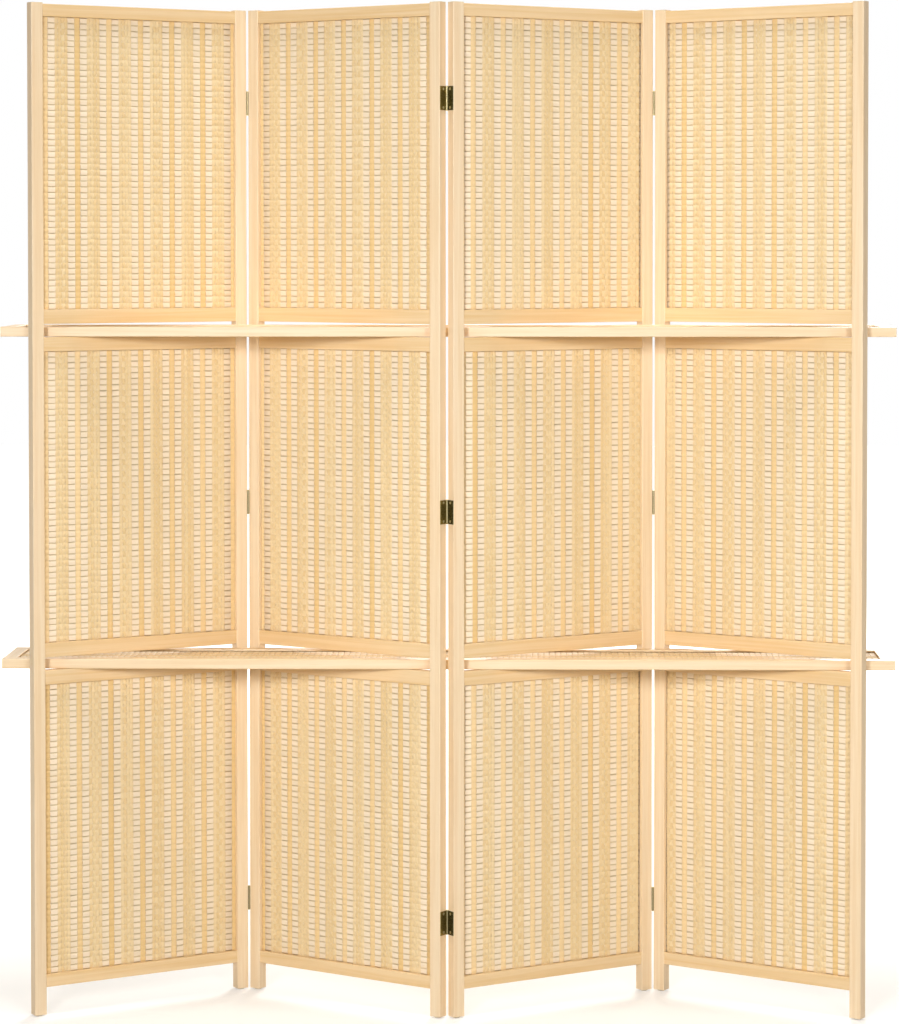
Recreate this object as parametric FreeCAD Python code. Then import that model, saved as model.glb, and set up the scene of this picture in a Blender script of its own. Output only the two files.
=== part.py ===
import FreeCAD, Part
import math
import os

# A zigzag screen of framed, woven panels on butt hinges, with two long shelves
# that pass through slots in every panel. Millimetres; +Z up, the front faces -Y,
# and the origin lies on the floor under the middle of the screen.

# Panel frames
panel_count = 4
screen_height = 1700.0
panel_width = 400.0
panel_thickness = 19.0
stile_width = 21.0
stile_arris = 1.5
end_rail_height = 21.0
slot_rail_height = 24.0
rail_arris = 1.0
slot_height = 22.0
foot_height = 48.0
rail_drop = 2.0

# Joints between rails and stiles
tenon_length = 10.0
tenon_thickness = 7.0
tenon_shoulder = 3.0
mortise_clearance = 0.1

# Woven mats of flat slats: narrow strip, bare slats, wide band, bare slats, over and over
mat_thickness = 3.0
slat_thickness = 2.0
groove_depth = 5.0
groove_clearance = 0.2
narrow_strip = 10.2
wide_band = 23.4
mat_gap = 12.4
least_strip = 2.0
mat_phases = (-1.4, 4.3, 39.4, 29.7)

# Glides under the feet
glide_thickness = 2.5
glide_radius = 6.5
glide_edge = 0.8
nail_radius = 1.0
nail_length = 10.0
nail_clearance = 0.1

# Hinges: three to a fold, with leaves on the stile edges
hinge_inset = 160.0
hinge_height = 40.0
knuckle_count = 5
knuckle_gap = 0.2
knuckle_radius = 1.8
barrel_clearance = 0.1
leaf_thickness = 1.2
leaf_gap = 0.2
leaf_margin = 0.5
pin_radius = 0.9
pin_clearance = 0.05
pin_head_radius = 1.7
pin_head_height = 1.0
screw_pitch = 31.0
screw_radius = 1.25
screw_head_radius = 2.4
screw_length = 13.0
screw_clearance = 0.05
recess_length = 2.8
recess_width = 0.7
recess_depth = 0.7

# Shelves
shelf_depth = 156.0
shelf_thickness = 16.5
shelf_overhang = 50.0
shelf_play = 9.4
shelf_lift = 0.3
shelf_rail_width = 22.0
shelf_mat_drop = 3.0
shelf_tenon_thickness = 4.0
batten_count = 5
batten_width = 20.0
batten_rise = 2.0

# The shelf's depth sets how far the zigzag opens: its long edges lie clear of the
# stiles by the play
inner_width = panel_width - 2 * stile_width
slot_corner = math.hypot(inner_width / 2, panel_thickness / 2)
fold_angle = math.degrees(
    math.asin((shelf_depth / 2 + shelf_play) / slot_corner)
    + math.atan2(panel_thickness, inner_width)
)
fold_cos = math.cos(math.radians(fold_angle))
fold_sin = math.sin(math.radians(fold_angle))

# Hinge axis, measured from the middle of a panel: the barrel lies close against the
# rounded edges of both stiles
axis_out = panel_width / 2 + leaf_thickness + leaf_gap / 2
barrel_reach = knuckle_radius + barrel_clearance + stile_arris
barrel_step = leaf_thickness + leaf_gap / 2 + stile_arris
axis_off = panel_thickness / 2 - stile_arris + math.sqrt(barrel_reach ** 2 - barrel_step ** 2)
panel_pitch = 2 * (axis_out * fold_cos + axis_off * fold_sin)
screen_width = (panel_count - 1) * panel_pitch + panel_width * fold_cos + panel_thickness * fold_sin
shelf_length = screen_width + 2 * shelf_overhang

# Heights of the rails, slots and mats, from the floor up
rail_thickness = panel_thickness - 2 * stile_arris
rail_top = screen_height - rail_drop
fixed_height = 2 * end_rail_height + 4 * slot_rail_height + 2 * slot_height
mat_height = (rail_top - foot_height - fixed_height) / 3
bottom_mat_z = foot_height + end_rail_height
lower_slot_z = bottom_mat_z + mat_height + slot_rail_height
middle_mat_z = lower_slot_z + slot_height + slot_rail_height
upper_slot_z = middle_mat_z + mat_height + slot_rail_height
top_mat_z = upper_slot_z + slot_height + slot_rail_height
mat_levels = {"lower": bottom_mat_z, "middle": middle_mat_z, "upper": top_mat_z}
slot_levels = {"lower": lower_slot_z, "upper": upper_slot_z}
hinge_heights = (hinge_inset, screen_height / 2, screen_height - hinge_inset)
knuckle_height = (hinge_height - (knuckle_count - 1) * knuckle_gap) / knuckle_count
groove_width = mat_thickness + 2 * groove_clearance


def block(x0, x1, y0, y1, z0, z1):
    low = FreeCAD.Vector(min(x0, x1), min(y0, y1), min(z0, z1))
    return Part.makeBox(abs(x1 - x0), abs(y1 - y0), abs(z1 - z0), low)


def round_edges(shape, axis, radius):
    edges = [edge for edge in shape.Edges if abs(edge.tangentAt(edge.FirstParameter).dot(axis)) > 0.99]
    return shape.makeFillet(radius, edges)


def rod(x, y, z, radius, length, direction=FreeCAD.Vector(0, 0, 1)):
    return Part.makeCylinder(radius, length, FreeCAD.Vector(x, y, z), direction)


def rail_levels():
    levels = [(foot_height, end_rail_height), (rail_top - end_rail_height, end_rail_height)]
    for slot_z in slot_levels.values():
        levels.append((slot_z - slot_rail_height, slot_rail_height))
        levels.append((slot_z + slot_height, slot_rail_height))
    return levels


def screw_heights():
    return [z + step for z in hinge_heights for step in (-screw_pitch / 2, screw_pitch / 2)]


def make_stile(side, hinged):
    inner = side * inner_width / 2
    outer = side * panel_width / 2
    half = panel_thickness / 2
    stile = block(inner, outer, -half, half, glide_thickness, screen_height)
    stile = round_edges(stile, FreeCAD.Vector(0, 0, 1), stile_arris)
    cuts = []
    for z, height in rail_levels():
        depth = tenon_length + mortise_clearance
        cheek = tenon_thickness / 2 + mortise_clearance
        low = z + tenon_shoulder - mortise_clearance
        high = z + height - tenon_shoulder + mortise_clearance
        cuts.append(block(inner, inner + side * depth, -cheek, cheek, low, high))
    for z in mat_levels.values():
        cheek = groove_width / 2
        low = z - groove_depth
        high = z + mat_height + groove_depth
        cuts.append(block(inner, inner + side * groove_depth, -cheek, cheek, low, high))
    if hinged:
        inward = FreeCAD.Vector(-side, 0, 0)
        for z in screw_heights():
            cuts.append(rod(outer, 0, z, screw_radius + screw_clearance, screw_length, inward))
    middle = (inner + outer) / 2
    cuts.append(rod(middle, 0, glide_thickness, nail_radius + nail_clearance, nail_length + nail_clearance))
    return stile.cut(cuts)


def make_rail(z, height, grooves):
    half = rail_thickness / 2
    rail = block(-inner_width / 2, inner_width / 2, -half, half, z, z + height)
    rail = round_edges(rail, FreeCAD.Vector(1, 0, 0), rail_arris)
    reach = inner_width / 2 + tenon_length
    cheek = tenon_thickness / 2
    tenon = block(-reach, reach, -cheek, cheek, z + tenon_shoulder, z + height - tenon_shoulder)
    rail = rail.fuse(tenon).removeSplitter()
    for edge in grooves:
        base = z if edge == "under" else z + height
        depth = groove_depth if edge == "under" else -groove_depth
        cheek = groove_width / 2
        rail = rail.cut(block(-reach, reach, -cheek, cheek, base, base + depth))
    return rail


def strip_spans(width, phase):
    # Strips and bands that stand proud of the slats, from one edge of the mat to the other
    reach = width / 2 + groove_depth - groove_clearance
    period = narrow_strip + wide_band + 2 * mat_gap
    spans = []
    for turn in range(int(width / period) + 2):
        start = turn * period - phase - width / 2
        for begin, wide in ((start, narrow_strip), (start + narrow_strip + mat_gap, wide_band)):
            low = max(begin, -reach)
            high = min(begin + wide, reach)
            if high - low > least_strip:
                spans.append((low, high))
    return spans


def make_mat(width, length, phase):
    # A flat woven mat of the given visible size, lying in XY and held in grooves all round
    edge = groove_depth - groove_clearance
    reach = width / 2 + edge
    low = (mat_thickness - slat_thickness) / 2
    slats = block(-reach, reach, -edge, length + edge, low, low + slat_thickness)
    strips = [block(x0, x1, -edge, length + edge, 0, mat_thickness) for x0, x1 in strip_spans(width, phase)]
    return slats.fuse(strips).removeSplitter()


def make_panel_mat(z, phase):
    mat = make_mat(inner_width, mat_height, phase)
    mat.rotate(FreeCAD.Vector(0, 0, 0), FreeCAD.Vector(1, 0, 0), 90)
    mat.translate(FreeCAD.Vector(0, mat_thickness / 2, z))
    return mat


def make_glide(x):
    disc = rod(x, 0, 0, glide_radius, glide_thickness)
    rim = [edge for edge in disc.Edges if isinstance(edge.Curve, Part.Circle) and edge.CenterOfMass.z < 0.01]
    nail = rod(x, 0, glide_thickness, nail_radius, nail_length)
    return disc.makeChamfer(glide_edge, rim).fuse(nail).removeSplitter()


def make_screw():
    # Countersunk screw along -Z with the top of its head at z = 0
    head = Part.makeCone(screw_radius, screw_head_radius, leaf_thickness, FreeCAD.Vector(0, 0, -leaf_thickness))
    shank_length = screw_length - screw_clearance
    shank = rod(0, 0, -leaf_thickness - shank_length, screw_radius, shank_length)
    slots = []
    for x, y in ((recess_length, recess_width), (recess_width, recess_length)):
        slots.append(block(-x / 2, x / 2, -y / 2, y / 2, -recess_depth, 0))
    return head.fuse(shank).removeSplitter().cut(slots)


def lay_screw(shape, side, z):
    # Turn a -Z screw so that it runs into the stile edge on the given side
    laid = shape.copy()
    laid.rotate(FreeCAD.Vector(0, 0, 0), FreeCAD.Vector(0, 1, 0), 90 * side)
    laid.translate(FreeCAD.Vector(side * (panel_width / 2 + leaf_thickness), 0, z))
    return laid


def knuckle_levels(z, first):
    base = z - hinge_height / 2
    step = knuckle_height + knuckle_gap
    return [base + i * step for i in range(first, knuckle_count, 2)]


def make_leaf(side, face, z, first):
    # Leaf on a panel's left (-1) or right (+1) edge, its barrel at the front (-1) or back (+1)
    edge = side * panel_width / 2
    skin = edge + side * leaf_thickness
    far = -face * (panel_thickness / 2 - leaf_margin)
    near = face * (axis_off - knuckle_radius - leaf_gap - barrel_clearance)
    axis_y = face * axis_off
    leaf = block(edge, skin, far, near, z - hinge_height / 2, z + hinge_height / 2)
    pieces = []
    bores = []
    for low in knuckle_levels(z, first):
        pieces.append(block(edge, skin, near, axis_y, low, low + knuckle_height))
        pieces.append(rod(side * axis_out, axis_y, low, knuckle_radius, knuckle_height))
        bores.append(rod(side * axis_out, axis_y, low, pin_radius + pin_clearance, knuckle_height))
    for step in (-screw_pitch / 2, screw_pitch / 2):
        sink = Part.makeCone(
            screw_radius + screw_clearance,
            screw_head_radius + screw_clearance,
            leaf_thickness,
            FreeCAD.Vector(0, 0, -leaf_thickness),
        )
        bores.append(lay_screw(sink, side, z + step))
    return leaf.fuse(pieces).removeSplitter().cut(bores)


def make_pin(side, face, z):
    x = side * axis_out
    y = face * axis_off
    base = z - hinge_height / 2
    shank = rod(x, y, base, pin_radius, hinge_height)
    foot = rod(x, y, base - pin_head_height, pin_head_radius, pin_head_height)
    head = rod(x, y, base + hinge_height, pin_head_radius, pin_head_height)
    return shank.fuse([foot, head]).removeSplitter()


def place(shapes, panel):
    # Stand a panel's pieces in the zigzag: odd panels run back to the right, even ones forward
    turn = fold_angle if panel % 2 == 0 else -fold_angle
    x = (panel - (panel_count - 1) / 2) * panel_pitch
    spot = FreeCAD.Placement(FreeCAD.Vector(x, 0, 0), FreeCAD.Rotation(FreeCAD.Vector(0, 0, 1), turn))
    return [shape.transformed(spot.toMatrix()) for shape in shapes]


def panel_pieces(panel):
    hinged = {-1: panel > 0, 1: panel < panel_count - 1}
    middle = inner_width / 2 + stile_width / 2
    slot_rails = []
    for slot_z in slot_levels.values():
        slot_rails.append(make_rail(slot_z - slot_rail_height, slot_rail_height, ("under",)))
        slot_rails.append(make_rail(slot_z + slot_height, slot_rail_height, ("over",)))
    screw = make_screw()
    sides = [side for side in (-1, 1) if hinged[side]]
    pieces = {
        "left_stile": [make_stile(-1, hinged[-1])],
        "right_stile": [make_stile(1, hinged[1])],
        "top_rail": [make_rail(rail_top - end_rail_height, end_rail_height, ("under",))],
        "bottom_rail": [make_rail(foot_height, end_rail_height, ("over",))],
        "slot_rails": slot_rails,
        "foot_glides": [make_glide(-middle), make_glide(middle)],
        "hinge_screws": [lay_screw(screw, side, z) for side in sides for z in screw_heights()],
    }
    for level, z in mat_levels.items():
        pieces[level + "_mat"] = [make_panel_mat(z, mat_phases[panel])]
    return pieces


def hinge_pieces(fold):
    # The first fold's barrels stand at the front, the next fold's at the back, and so on
    face = -1 if fold % 2 == 0 else 1
    left = [make_leaf(1, face, z, 0) for z in hinge_heights]
    right = [make_leaf(-1, face, z, 1) for z in hinge_heights]
    pins = [make_pin(1, face, z) for z in hinge_heights]
    return {
        "left_leaves": place(left, fold),
        "right_leaves": place(right, fold + 1),
        "pins": place(pins, fold),
    }


def shelf_groove(mat_z, reach_x, reach_y):
    low = mat_z - groove_clearance
    return block(-reach_x, reach_x, -reach_y, reach_y, low, low + groove_width)


def shelf_pieces(slot_z):
    base = slot_z + shelf_lift
    top = base + shelf_thickness
    half_length = shelf_length / 2
    half_depth = shelf_depth / 2
    inner_x = half_length - shelf_rail_width
    inner_y = half_depth - shelf_rail_width
    mat_z = top - shelf_mat_drop - mat_thickness
    groove = shelf_groove(mat_z, inner_x + groove_depth, inner_y + groove_depth)

    # Battens lie under the mat, the end rails close the frame; both are tenoned into the long rails
    batten_low = base + batten_rise
    batten_high = mat_z - groove_clearance
    tenon_low = (batten_low + batten_high - shelf_tenon_thickness) / 2
    tenon_high = tenon_low + shelf_tenon_thickness
    reach = inner_y + tenon_length

    def cross_bar(x, width, low, high):
        bar = block(x - width / 2, x + width / 2, -inner_y, inner_y, low, high)
        bar = round_edges(bar, FreeCAD.Vector(0, 1, 0), rail_arris)
        tongue = width / 2 - tenon_shoulder
        return bar.fuse(block(x - tongue, x + tongue, -reach, reach, tenon_low, tenon_high)).removeSplitter()

    def mortise(x, width):
        slack = mortise_clearance
        tongue = width / 2 - tenon_shoulder + slack
        deep = reach + slack
        return block(x - tongue, x + tongue, -deep, deep, tenon_low - slack, tenon_high + slack)

    batten_step = 2 * inner_x / (batten_count + 1)
    batten_spots = [-inner_x + (i + 1) * batten_step for i in range(batten_count)]
    end_spots = [-half_length + shelf_rail_width / 2, half_length - shelf_rail_width / 2]
    battens = [cross_bar(x, batten_width, batten_low, batten_high) for x in batten_spots]
    ends = [cross_bar(x, shelf_rail_width, base, top).cut(groove) for x in end_spots]

    cuts = [mortise(x, batten_width) for x in batten_spots]
    cuts += [mortise(x, shelf_rail_width) for x in end_spots]
    cuts.append(groove)
    long_rails = []
    for side in (-1, 1):
        rail = block(-half_length, half_length, side * inner_y, side * half_depth, base, top)
        long_rails.append(round_edges(rail, FreeCAD.Vector(1, 0, 0), stile_arris).cut(cuts))

    # The mat's strips run along the shelf and its slats from front to back, a wide band in the middle
    period = narrow_strip + wide_band + 2 * mat_gap
    phase = (narrow_strip + mat_gap + wide_band / 2 - inner_y) % period
    mat = make_mat(2 * inner_y, 2 * inner_x, phase)
    mat.rotate(FreeCAD.Vector(0, 0, 0), FreeCAD.Vector(0, 0, 1), -90)
    mat.translate(FreeCAD.Vector(-inner_x, 0, mat_z))
    return {
        "front_rail": [long_rails[0]],
        "rear_rail": [long_rails[1]],
        "end_rails": ends,
        "battens": battens,
        "mat": [mat],
    }


def save(name, shapes):
    whole = shapes[0] if len(shapes) == 1 else Part.makeCompound(shapes)
    whole.exportStep("parts/" + name + ".step")


os.makedirs("parts", exist_ok=True)
for panel in range(panel_count):
    for name, shapes in panel_pieces(panel).items():
        save("panel_%d_%s" % (panel + 1, name), place(shapes, panel))
for fold in range(panel_count - 1):
    for name, shapes in hinge_pieces(fold).items():
        save("hinge_%d_%s" % (fold + 1, name), shapes)
for level, slot_z in slot_levels.items():
    for name, shapes in shelf_pieces(slot_z).items():
        save(level + "_shelf_" + name, shapes)
print("fold angle %.3f, pitch %.3f, shelf length %.3f" % (fold_angle, panel_pitch, shelf_length))
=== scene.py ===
import math

import bpy
import numpy as np
from mathutils import Matrix, Vector


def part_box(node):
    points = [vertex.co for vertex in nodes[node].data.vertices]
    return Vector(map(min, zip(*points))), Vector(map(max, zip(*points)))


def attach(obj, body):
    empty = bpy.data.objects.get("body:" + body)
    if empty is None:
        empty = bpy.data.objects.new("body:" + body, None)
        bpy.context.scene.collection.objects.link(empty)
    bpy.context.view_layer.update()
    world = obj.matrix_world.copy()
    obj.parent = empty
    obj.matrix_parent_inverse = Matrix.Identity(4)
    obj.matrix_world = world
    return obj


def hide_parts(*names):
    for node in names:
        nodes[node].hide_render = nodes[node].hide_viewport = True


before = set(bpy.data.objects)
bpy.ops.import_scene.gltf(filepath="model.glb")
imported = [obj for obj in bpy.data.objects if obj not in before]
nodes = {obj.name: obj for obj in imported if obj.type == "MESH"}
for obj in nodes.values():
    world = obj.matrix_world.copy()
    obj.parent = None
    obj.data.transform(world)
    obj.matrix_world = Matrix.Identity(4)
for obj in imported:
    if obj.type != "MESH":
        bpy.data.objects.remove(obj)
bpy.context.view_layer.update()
mm = 0.001


def linear(hexCode):
    parts = [int(hexCode[i:i + 2], 16) / 255 for i in (1, 3, 5)]
    return [c / 12.92 if c <= 0.04045 else ((c + 0.055) / 1.055) ** 2.4 for c in parts] + [1.0]


def addNode(tree, kind, inputs=None, **settings):
    node = tree.nodes.new(kind)
    for key, value in settings.items():
        setattr(node, key, value)
    for key, value in (inputs or {}).items():
        if isinstance(value, bpy.types.NodeSocket):
            tree.links.new(value, node.inputs[key])
        else:
            node.inputs[key].default_value = value
    return node


def newMaterial(name):
    material = bpy.data.materials.new(name)
    material.use_nodes = True
    tree = material.node_tree
    return material, tree, tree.nodes["Principled BSDF"]


def perMetre(spacing):  # noise features of this many millimetres
    return 1 / (spacing * mm)


# Pale softwood, planed, sanded and sealed with a thin satin lacquer: straight faint grain, a soft sheen
paleWood = {
    "stile": ("#F7DFBC", "#F1D4AB"),  # early and late wood
    # rails a deeper, warmer tone than the stiles: painted shade and warm bounce light
    "rail": ("#F1D2A4", "#E9C58F"),
    "shelf": ("#F4DBB6", "#EED0A4"),
    "fibre": "#E2C28C",
    "ringSpacing": 8.0,  # mm across the board
    "ringLength": 320.0,  # mm along it
    "ringWander": 0.4,
    "ringRange": (0.38, 0.66),  # noise from here to here turns early wood into late
    "fibreWidth": 1.4,  # mm; real fibres are finer, this coarse they still show
    "fibreLength": 45.0,
    "fibreRange": (0.54, 0.78),
    "fibreShare": 0.4,  # how far a streak goes towards the fibre's own colour
    "boardTone": 0.05,  # boards differ this much in lightness
    "roughness": (0.38, 0.52),  # lacquer on smooth wood and on raised fibres
    "roughRange": (0.3, 0.75),
    "relief": 0.15,  # mm
    "reliefShare": 0.25,
    "ior": 1.5,
}


def makePaleWood(name, grainAlong, tones):
    w = paleWood
    material, tree, shader = newMaterial(name)
    place = addNode(tree, "ShaderNodeTexCoord").outputs["Object"]
    board = addNode(tree, "ShaderNodeObjectInfo").outputs["Random"]
    shifted = addNode(tree, "ShaderNodeVectorMath", {0: place, 1: board}, operation="ADD").outputs[0]
    toGrain = Vector(grainAlong).rotation_difference(Vector((1, 0, 0))).to_euler()
    turned = addNode(tree, "ShaderNodeMapping", {"Vector": shifted, "Rotation": toGrain}).outputs[0]
    ringPlace = addNode(tree, "ShaderNodeMapping", {
        "Vector": turned, "Scale": (w["ringSpacing"] / w["ringLength"], 1, 1)}).outputs[0]
    rings = addNode(tree, "ShaderNodeTexNoise", {
        "Vector": ringPlace, "Scale": perMetre(w["ringSpacing"]), "Detail": 2.0, "Roughness": 0.55,
        "Distortion": w["ringWander"]}).outputs["Fac"]
    fibrePlace = addNode(tree, "ShaderNodeMapping", {
        "Vector": turned, "Scale": (w["fibreWidth"] / w["fibreLength"], 1, 1)}).outputs[0]
    fibres = addNode(tree, "ShaderNodeTexNoise", {
        "Vector": fibrePlace, "Scale": perMetre(w["fibreWidth"]), "Detail": 3.0,
        "Roughness": 0.6}).outputs["Fac"]
    ringShare = addNode(tree, "ShaderNodeMapRange", {
        "Value": rings, "From Min": w["ringRange"][0], "From Max": w["ringRange"][1]}).outputs[0]
    grain = addNode(tree, "ShaderNodeMix", {
        0: ringShare, 6: linear(tones[0]), 7: linear(tones[1])}, data_type="RGBA").outputs[2]
    fibreShare = addNode(tree, "ShaderNodeMapRange", {
        "Value": fibres, "From Min": w["fibreRange"][0], "From Max": w["fibreRange"][1],
        "To Max": w["fibreShare"]}).outputs[0]
    streaked = addNode(tree, "ShaderNodeMix", {
        0: fibreShare, 6: grain, 7: linear(w["fibre"])}, data_type="RGBA").outputs[2]
    tone = addNode(tree, "ShaderNodeMapRange", {
        "Value": board, "To Min": 1 - w["boardTone"], "To Max": 1.0}).outputs[0]
    toned = addNode(tree, "ShaderNodeHueSaturation", {"Color": streaked, "Value": tone}).outputs[0]
    tree.links.new(toned, shader.inputs["Base Color"])
    gloss = addNode(tree, "ShaderNodeMapRange", {
        "Value": fibres, "From Min": w["roughRange"][0], "From Max": w["roughRange"][1],
        "To Min": w["roughness"][0], "To Max": w["roughness"][1]}).outputs[0]
    tree.links.new(gloss, shader.inputs["Roughness"])
    relief = addNode(tree, "ShaderNodeBump", {
        "Height": fibres, "Strength": w["reliefShare"], "Distance": w["relief"] * mm}).outputs[0]
    tree.links.new(relief, shader.inputs["Normal"])
    shader.inputs["IOR"].default_value = w["ior"]
    return material


# Split slats, twine and peel of the mats, bare and dry: dull, streaked lengthwise,
# and each strand has a tone of its own
matStrands = {
    # the slat's dark colour also carries the painted groove shade on its edges
    "slat": {"light": "#F6E3C8", "dark": "#E8D3B0", "streak": (0.8, 30.0), "roughness": 0.72},
    "twine": {"light": "#F1D8AA", "dark": "#EACC98", "streak": (0.9, 5.0), "roughness": 0.85},
    "peel": {"light": "#F4D6A2", "dark": "#EAC687", "streak": (1.2, 60.0), "roughness": 0.7},
    # streak: mm across and along; real fibres are finer, this coarse they still show
    "toneRange": (0.55, 1.45),  # streak and tone together, from light to dark
    "relief": 0.2,  # mm
    "reliefShare": 0.4,
}


def makeStrand(name, kind, lengthAxis):
    s = matStrands[kind]
    material, tree, shader = newMaterial(name)
    place = addNode(tree, "ShaderNodeTexCoord").outputs["Object"]
    streakWidth, streakLength = s["streak"]
    squeeze = [1.0, 1.0, 1.0]
    squeeze[lengthAxis] = streakWidth / streakLength
    along = addNode(tree, "ShaderNodeMapping", {"Vector": place, "Scale": squeeze}).outputs[0]
    streaks = addNode(tree, "ShaderNodeTexNoise", {
        "Vector": along, "Scale": perMetre(streakWidth), "Detail": 2.0}).outputs["Fac"]
    # the tone attribute holds each strand's own tone and, on the slats, painted shade along the edges where
    # they meet
    tone = addNode(tree, "ShaderNodeAttribute", attribute_name="tone").outputs["Fac"]
    mixed = addNode(tree, "ShaderNodeMath", {0: streaks, 1: tone}, operation="ADD").outputs[0]
    lightest, darkest = matStrands["toneRange"]
    share = addNode(tree, "ShaderNodeMapRange", {
        "Value": mixed, "From Min": lightest, "From Max": darkest}).outputs[0]
    colour = addNode(tree, "ShaderNodeMix", {
        0: share, 6: linear(s["light"]), 7: linear(s["dark"])}, data_type="RGBA").outputs[2]
    tree.links.new(colour, shader.inputs["Base Color"])
    relief = addNode(tree, "ShaderNodeBump", {
        "Height": streaks, "Strength": matStrands["reliefShare"],
        "Distance": matStrands["relief"] * mm}).outputs[0]
    tree.links.new(relief, shader.inputs["Normal"])
    shader.inputs["Roughness"].default_value = s["roughness"]
    return material


# Stamped brass under a dark aged film, worn bright where the knuckles turn: dark olive with clear highlights
agedBrass = {
    "left": ("#AE9A5E", "#8A7640"),  # bare and filmed, on the leaves to each side of a fold; the left leaves lighter with a painted warm reflection, the right ones darker with a painted dark reflection
    "right": ("#746F4B", "#423E27"),
    "barrel": "#978D6C",
    "barrelReach": 2.6,  # mm from the pin's line
    "barrelCore": 0.8,  # share of that reach that is worn all over
    "pin": ("#D6C696", "#AD9A62"),
    "screw": ("#EFE6CB", "#C9B98A"),
    "patchSize": 2.5,  # mm
    "patchRange": (0.3, 0.62),
    "leafRough": (0.34, 0.46),  # bare and filmed
    "screwRough": (0.44, 0.52),
}


def makeBrass(name, finish, rough, pinLine=None):
    b = agedBrass
    material, tree, shader = newMaterial(name)
    place = addNode(tree, "ShaderNodeTexCoord").outputs["Object"]
    patches = addNode(tree, "ShaderNodeTexNoise", {
        "Vector": place, "Scale": perMetre(b["patchSize"]), "Detail": 3.0}).outputs["Fac"]
    share = addNode(tree, "ShaderNodeMapRange", {
        "Value": patches, "From Min": b["patchRange"][0], "From Max": b["patchRange"][1]}).outputs[0]
    colour = addNode(tree, "ShaderNodeMix", {
        0: share, 6: linear(finish[0]), 7: linear(finish[1])}, data_type="RGBA").outputs[2]
    if pinLine:
        level = addNode(tree, "ShaderNodeVectorMath", {
            0: place, 1: (1, 1, 0)}, operation="MULTIPLY").outputs[0]
        away = addNode(tree, "ShaderNodeVectorMath", {
            0: level, 1: (pinLine.x, pinLine.y, 0)}, operation="DISTANCE").outputs["Value"]
        reach = b["barrelReach"] * mm
        worn = addNode(tree, "ShaderNodeMapRange", {
            "Value": away, "From Min": b["barrelCore"] * reach, "From Max": reach,
            "To Min": 1.0, "To Max": 0.0}).outputs[0]
        colour = addNode(tree, "ShaderNodeMix", {
            0: worn, 6: colour, 7: linear(b["barrel"])}, data_type="RGBA").outputs[2]
    tree.links.new(colour, shader.inputs["Base Color"])
    gloss = addNode(tree, "ShaderNodeMapRange", {
        "Value": share, "To Min": rough[0], "To Max": rough[1]}).outputs[0]
    tree.links.new(gloss, shader.inputs["Roughness"])
    shader.inputs["Metallic"].default_value = 1.0
    return material


# Moulded nylon glides: off-white, a little waxy, with a fine tool texture
nylon = {
    "colour": "#DCD3C0",
    "shade": "#CBC0AA",
    "grain": 0.8,  # mm; the real texture is finer, this coarse it still shows
    "relief": 0.1,  # mm
    "reliefShare": 0.2,
    "roughness": 0.48,
    "ior": 1.53,
}


def makeNylon(name):
    n = nylon
    material, tree, shader = newMaterial(name)
    place = addNode(tree, "ShaderNodeTexCoord").outputs["Object"]
    grain = addNode(tree, "ShaderNodeTexNoise", {
        "Vector": place, "Scale": perMetre(n["grain"]), "Detail": 2.0}).outputs["Fac"]
    colour = addNode(tree, "ShaderNodeMix", {
        0: grain, 6: linear(n["colour"]), 7: linear(n["shade"])}, data_type="RGBA").outputs[2]
    tree.links.new(colour, shader.inputs["Base Color"])
    relief = addNode(tree, "ShaderNodeBump", {
        "Height": grain, "Strength": n["reliefShare"], "Distance": n["relief"] * mm}).outputs[0]
    tree.links.new(relief, shader.inputs["Normal"])
    shader.inputs["Roughness"].default_value = n["roughness"]
    shader.inputs["IOR"].default_value = n["ior"]
    return material


def middle(node):
    low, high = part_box(node)
    return (low + high) / 2


def panelLine(number):  # a panel's middle and the way it runs, from its two stiles
    left = middle("panel_%d_left_stile" % number)
    right = middle("panel_%d_right_stile" % number)
    return (left + right) / 2, (right - left).normalized()


panelNumbers = (1, 2, 3, 4)
upright = makePaleWood("Pale softwood upright", (0, 0, 1), paleWood["stile"])
shelfLong = makePaleWood("Pale softwood shelf", (1, 0, 0), paleWood["shelf"])
shelfCross = makePaleWood("Pale softwood shelf cross", (0, 1, 0), paleWood["shelf"])
leafBrass = {}
for fold in (1, 2, 3):
    pinLine = middle("hinge_%d_pins" % fold)
    for side in ("left", "right"):
        node = "hinge_%d_%s_leaves" % (fold, side)
        name = "Aged brass %s leaf %d" % (side, fold)
        # left and right leaves carry different painted reflections
        leafBrass[node] = makeBrass(name, agedBrass[side], agedBrass["leafRough"], pinLine)
pinBrass = makeBrass("Turned brass pin", agedBrass["pin"], agedBrass["leafRough"])
screwBrass = makeBrass("Brass screw", agedBrass["screw"], agedBrass["screwRough"])
glideNylon = makeNylon("Moulded nylon")
railWood = {}
for number in panelNumbers:
    way = panelLine(number)[1]
    # the rail tone carries painted shade and bounce light
    railWood[number] = makePaleWood("Pale softwood rail %d" % number, way, paleWood["rail"])


def finishOf(node):
    if node.endswith("leaves"):
        return leafBrass[node]
    if node.endswith("pins"):
        return pinBrass
    if node.endswith("screws"):
        return screwBrass
    if node.endswith("glides"):
        return glideNylon
    if node.endswith("stile"):
        return upright
    if "shelf" in node:
        return shelfLong if node.endswith(("front_rail", "rear_rail")) else shelfCross
    return railWood[int(node.split("_")[1])]


for name, piece in nodes.items():
    piece.data.materials.clear()
    piece.data.materials.append(finishOf(name))
print("finishes on", len(nodes), "nodes")

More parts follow.
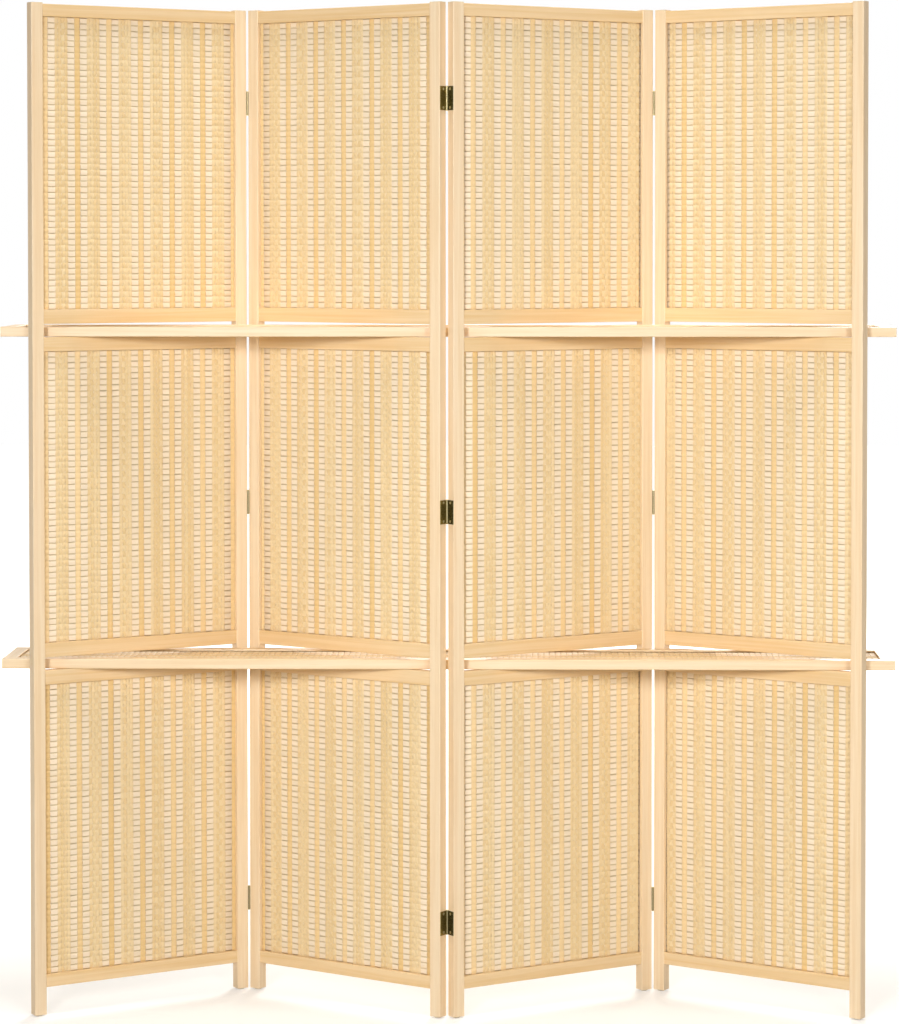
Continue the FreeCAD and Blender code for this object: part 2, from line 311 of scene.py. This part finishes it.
# The mats: flat slats across, close together, woven with wide bands of twined cord pairs
# and narrow peel strips. All sizes are in mm
weave = {
    "narrowStrip": 10.2,
    "wideBand": 23.4,
    "gap": 12.4,  # of bare slats
    "pairsPerBand": 4,
    # where the repeat starts on each panel's lower, middle and upper mat
    "phases": {1: (-1.4, -0.7, -2.1), 2: (4.3, 4.4, 4.2), 3: (40.0, 37.5, 40.7), 4: (27.9, 30.2, 30.9)},
    "inGroove": 4.8,  # held in the frame's groove all round
    "slatPitch": 9.78,
    "slatHeight": 10.3,  # the rounded edges meet
    "slatThick": 1.4,
    "slatCorners": (0, 52, 90, 128, 180, 232, 270, 308),  # degrees round a slat's section, edges at 0 and 180
    "slatRings": 13,
    "slatStray": 0.12,
    "slatTone": 0.35,
    "grooveShade": {"panel": 1.8, "shelf": 0.6},  # painted shade on the slat edges where they meet, darker on the panels, for the dark groove between slats
    "cordWidth": 5.8,
    "cordThick": 0.55,
    "cordApart": 0.35,  # a pair's strands lie this far to each side between slats
    "cordStray": 0.15,
    "peelThick": 0.45,
    "peelStray": 0.3,
    "leastStrip": 2.0,  # a strip cut narrower than this at the frame is left out
    "flatShare": 0.75,
    "steps": 4,  # rings between one slat and the next
    "spareRings": 2,  # past the last slat at each end, into the groove
}
weave["repeat"] = weave["narrowStrip"] + weave["wideBand"] + 2 * weave["gap"]
slatLook, twineLook, peelLook = 0, 1, 2  # places in matFinish


def loft(parts, rings, material, tone):
    # Quads along a row of rings, closed at both ends
    count, corners = rings.shape[:2]
    start = parts["count"]
    index = start + np.arange(count * corners).reshape(count, corners)
    after = np.roll(index, -1, axis=1)
    quads = np.stack([index[:-1], after[:-1], after[1:], index[1:]], axis=-1).reshape(-1, 4)
    parts["points"].append(rings.reshape(-1, 3))
    parts["faces"].extend(quads.tolist())
    parts["faces"].extend([index[0][::-1].tolist(), index[-1].tolist()])
    parts["looks"].extend([material] * (len(quads) + 2))
    parts["tones"].append(np.broadcast_to(tone, (count, corners)).ravel())
    parts["count"] += count * corners


def buildMat(name, place, width, length, phase, grooveShade, seed):
    w = weave
    draw = np.random.default_rng(seed)
    parts = {"points": [], "faces": [], "looks": [], "tones": [], "count": 0}
    edge = w["inGroove"]
    slats = round(length / w["slatPitch"])
    pitch = length / slats
    slatAt = (np.arange(slats) + 0.5) * pitch

    # Slats along x, a little bent and uneven
    turns = np.radians(w["slatCorners"])
    shadedEdges = np.isclose(np.abs(np.cos(turns)), 1)
    across = np.linspace(-width / 2 - edge, width / 2 + edge, w["slatRings"])
    for y in slatAt:
        lean, bow, lift = draw.uniform(-1, 1, 3) * w["slatStray"]
        middleLine = y + lift / 2 + lean * across / width + bow * np.cos(across * math.pi / width)
        rings = np.zeros((len(across), len(turns), 3))
        rings[:, :, 0] = across[:, None]
        rings[:, :, 1] = middleLine[:, None] + np.cos(turns) * w["slatHeight"] / 2
        rings[:, :, 2] = np.sin(turns) * w["slatThick"] / 2
        # random tone per slat, plus painted shade on the edge corners, for the groove between slats
        loft(parts, rings, slatLook, draw.uniform(0, w["slatTone"]) + grooveShade * shadedEdges)

    # Everything else runs along y, in front of one slat and behind the next
    firstRing = -0.5 * w["steps"] - w["spareRings"]
    lastRing = (slats - 0.5) * w["steps"] + w["spareRings"]
    phaseAt = np.arange(firstRing, lastRing + 1) / w["steps"]
    along = np.clip((phaseAt + 0.5) * pitch, -edge, length + edge)
    swing = phaseAt * math.pi

    def strand(x, z, outline, material, tone):
        rings = np.zeros((len(along), len(outline), 3))
        rings[:, :, 0] = x[:, None] + [p[0] for p in outline]
        rings[:, :, 1] = along[:, None]
        rings[:, :, 2] = z[:, None] + [p[1] for p in outline]
        loft(parts, rings, material, tone)

    def flatOutline(width, thick):  # a flat strand's section, thinner at its two edges
        half, high = width / 2, thick / 2
        flat = half * w["flatShare"]
        return [(-flat, high), (flat, high), (half, 0), (flat, -high), (-flat, -high), (-half, 0)]

    cordOutline = flatOutline(w["cordWidth"], w["cordThick"])
    cordSwing = (w["slatThick"] + w["cordThick"]) / 2
    peelSwing = (w["slatThick"] + w["peelThick"]) / 2
    reach = width / 2 + edge
    for turn in range(int(width / w["repeat"]) + 2):
        start = turn * w["repeat"] - phase - width / 2
        # Peel strip, cut to the frame where the repeat runs out
        left = max(start, -reach)
        right = min(start + w["narrowStrip"], reach)
        if right - left > w["leastStrip"]:
            outline = flatOutline(right - left, w["peelThick"])
            x = (left + right) / 2 + draw.uniform(-1, 1) * w["peelStray"] * np.sin(along / length * math.pi)
            tone = draw.uniform(0, 1)
            for side in (1, -1):
                strand(x, side * peelSwing * np.cos(swing), outline, peelLook, tone)
        # Twined pairs: each strand goes round the slats against its partner
        bandStart = start + w["narrowStrip"] + w["gap"]
        pairPitch = w["wideBand"] / w["pairsPerBand"]
        for pair in range(w["pairsPerBand"]):
            centre = bandStart + (pair + 0.5) * pairPitch + draw.uniform(-1, 1) * w["cordStray"]
            tones = draw.uniform(0, 1, 2)
            if abs(centre) > reach - w["cordWidth"]:
                continue
            hand = -1 if pair % 2 else 1  # neighbours twine the other way round
            for side, tone in zip((1, -1), tones):
                x = centre + side * hand * w["cordApart"] * np.sin(swing)
                strand(x, side * cordSwing * np.cos(swing), cordOutline, twineLook, tone)

    mesh = bpy.data.meshes.new(name)
    mesh.from_pydata(np.concatenate(parts["points"]) * mm, [], parts["faces"])
    mesh.polygons.foreach_set("material_index", parts["looks"])
    mesh.polygons.foreach_set("use_smooth", [True] * len(parts["faces"]))
    mesh.attributes.new("tone", "FLOAT", "POINT").data.foreach_set("value", np.concatenate(parts["tones"]))
    for material in matFinish:
        mesh.materials.append(material)
    mesh.update()
    mat = bpy.data.objects.new(name, mesh)
    bpy.context.scene.collection.objects.link(mat)
    mat.matrix_world = place
    return mat


matFinish = [  # slats run along x, the strands over them along y
    makeStrand("Split bamboo slat", "slat", 0),
    makeStrand("Paper twine", "twine", 1),
    makeStrand("Bamboo peel", "peel", 1),
]
stileWidth = 21.0  # mm
for number in panelNumbers:
    centre, way = panelLine(number)
    left = middle("panel_%d_left_stile" % number)
    right = middle("panel_%d_right_stile" % number)
    width = (right - left).length / mm - stileWidth
    for level, name in enumerate(("lower", "middle", "upper")):
        node = "panel_%d_%s_mat" % (number, name)
        low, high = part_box(node)
        base = low.z + weave["inGroove"] * mm
        length = (high.z - low.z) / mm - 2 * weave["inGroove"]
        up = Vector((0, 0, 1))
        place = Matrix((way, up, way.cross(up))).transposed().to_4x4()
        place.translation = Vector((centre.x, centre.y, base))
        phase = weave["phases"][number][level]
        seed = 10 * number + level  # each mat strays in its own way
        mat = buildMat(node + "_weave", place, width, length, phase, weave["grooveShade"]["panel"], seed)
        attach(mat, "panel_%d" % number)
        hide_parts(node)
print("panel mats woven")

for level, shelf in enumerate(("lower_shelf", "upper_shelf")):
    node = shelf + "_mat"
    low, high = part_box(node)
    width = (high.y - low.y) / mm - 2 * weave["inGroove"]
    length = (high.x - low.x) / mm - 2 * weave["inGroove"]
    bandMiddle = weave["narrowStrip"] + weave["gap"] + weave["wideBand"] / 2
    phase = (bandMiddle - width / 2) % weave["repeat"]  # a band along the shelf's middle
    place = Matrix(((0, -1, 0), (1, 0, 0), (0, 0, 1))).transposed().to_4x4()
    place.translation = Vector((low.x + weave["inGroove"] * mm, 0, (low.z + high.z) / 2))
    seed = 100 + level
    mat = buildMat(node + "_weave", place, width, length, phase, weave["grooveShade"]["shelf"], seed)
    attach(mat, shelf)
    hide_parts(node)
print("shelf mats woven")

# Studio: white sweep, soft lamps at the front left and right, above and behind, and pale light all round.
# Sizes are in metres
studio = {
    "floor": "#D2CEC6",
    "floorRough": 0.9,
    "floorSize": 30.0,
    "seen": "#FFFFFF",  # what the camera and the metal see of the room
    "floorGlow": (0.42, 0.9),  # near the screen, where its shadow shows, and far from it
    "glowReach": (0.8, 3.0),
    "roomLight": 0.16,
    "roomColour": "#FFE6C0",
    "key": {"at": (-1.3, -5.2, 1.9), "aim": (0.2, 0, 0.85), "size": 1.0, "watts": 22.6, "spread": 65},
    "fill": {"at": (1.9, -5.2, 1.9), "aim": (0, 0, 0.85), "size": 1.2, "watts": 83.0, "spread": 180},
    "top": {"at": (0, -0.6, 5.5), "aim": (0, -0.3, 0), "size": 1.5, "watts": 120.0, "spread": 180},
    "back": {"at": (0.8, 4.8, 3.4), "aim": (0, 0, 0.8), "size": 2.0, "watts": 270.0, "spread": 180},
    "lampColour": "#F4F7FB",
}


def seenShare(tree):
    # 1 where the camera sees the white room, straight on, mirrored or through something clear
    path = addNode(tree, "ShaderNodeLightPath").outputs
    straight = addNode(tree, "ShaderNodeMath", {
        0: path["Is Camera Ray"], 1: path["Is Glossy Ray"]}, operation="ADD", use_clamp=True).outputs[0]
    return addNode(tree, "ShaderNodeMath", {
        0: straight, 1: path["Is Transmission Ray"]}, operation="ADD", use_clamp=True).outputs[0]


def makeStudio():
    s = studio
    bpy.ops.mesh.primitive_plane_add(size=s["floorSize"])
    floor = bpy.context.object
    floor.name = "floor"
    material, tree, shader = newMaterial("Matt white sweep")
    shader.inputs["Base Color"].default_value = linear(s["floor"])
    shader.inputs["Roughness"].default_value = s["floorRough"]
    shader.inputs["Emission Color"].default_value = linear(s["seen"])
    seen = seenShare(tree)
    place = addNode(tree, "ShaderNodeTexCoord").outputs["Object"]
    away = addNode(tree, "ShaderNodeVectorMath", {0: place}, operation="LENGTH").outputs["Value"]
    paler = addNode(tree, "ShaderNodeMapRange", {
        "Value": away, "From Min": s["glowReach"][0], "From Max": s["glowReach"][1],
        "To Min": s["floorGlow"][0], "To Max": s["floorGlow"][1]}).outputs[0]
    glow = addNode(tree, "ShaderNodeMath", {0: seen, 1: paler}, operation="MULTIPLY").outputs[0]
    tree.links.new(glow, shader.inputs["Emission Strength"])
    floor.data.materials.append(material)

    world = bpy.data.worlds.new("White room")
    bpy.context.scene.world = world
    world.use_nodes = True
    tree = world.node_tree
    tree.nodes.clear()
    seen = seenShare(tree)
    room = addNode(tree, "ShaderNodeBackground", {
        "Color": linear(s["roomColour"]), "Strength": s["roomLight"]})
    white = addNode(tree, "ShaderNodeBackground", {"Color": linear(s["seen"]), "Strength": 1.0})
    both = addNode(tree, "ShaderNodeMixShader", {0: seen, 1: room.outputs[0], 2: white.outputs[0]})
    addNode(tree, "ShaderNodeOutputWorld", {"Surface": both.outputs[0]})

    for name in ("key", "fill", "top", "back"):
        lamp = bpy.data.lights.new(name, "AREA")
        lamp.shape = "DISK"
        lamp.size = s[name]["size"]
        lamp.energy = s[name]["watts"]
        lamp.color = linear(s["lampColour"])[:3]
        lamp.spread = math.radians(s[name]["spread"])
        holder = bpy.data.objects.new(name, lamp)
        holder.location = s[name]["at"]
        holder.rotation_euler = (Vector(s[name]["aim"]) - holder.location).to_track_quat("-Z", "Y").to_euler()
        bpy.context.scene.collection.objects.link(holder)


makeStudio()
print("studio lit")

# Camera: a long lens at chest height, looking slightly down and left, the frame moved down to the feet
shot = {
    "at": (0.165, -5.4626, 1.3024),
    "tilt": 88.275,
    "turn": 1.0,
    "lens": 113.09,
    "sensor": 36.0,
    "shift": (-0.0393, -0.17),
}
lens = bpy.data.cameras.new("camera")
lens.lens = shot["lens"]
lens.sensor_width = shot["sensor"]
lens.shift_x, lens.shift_y = shot["shift"]
camera = bpy.data.objects.new("camera", lens)
camera.location = shot["at"]
camera.rotation_euler = (math.radians(shot["tilt"]), 0, math.radians(shot["turn"]))
bpy.context.scene.collection.objects.link(camera)
bpy.context.scene.camera = camera
bpy.context.scene.view_settings.view_transform = "Standard"
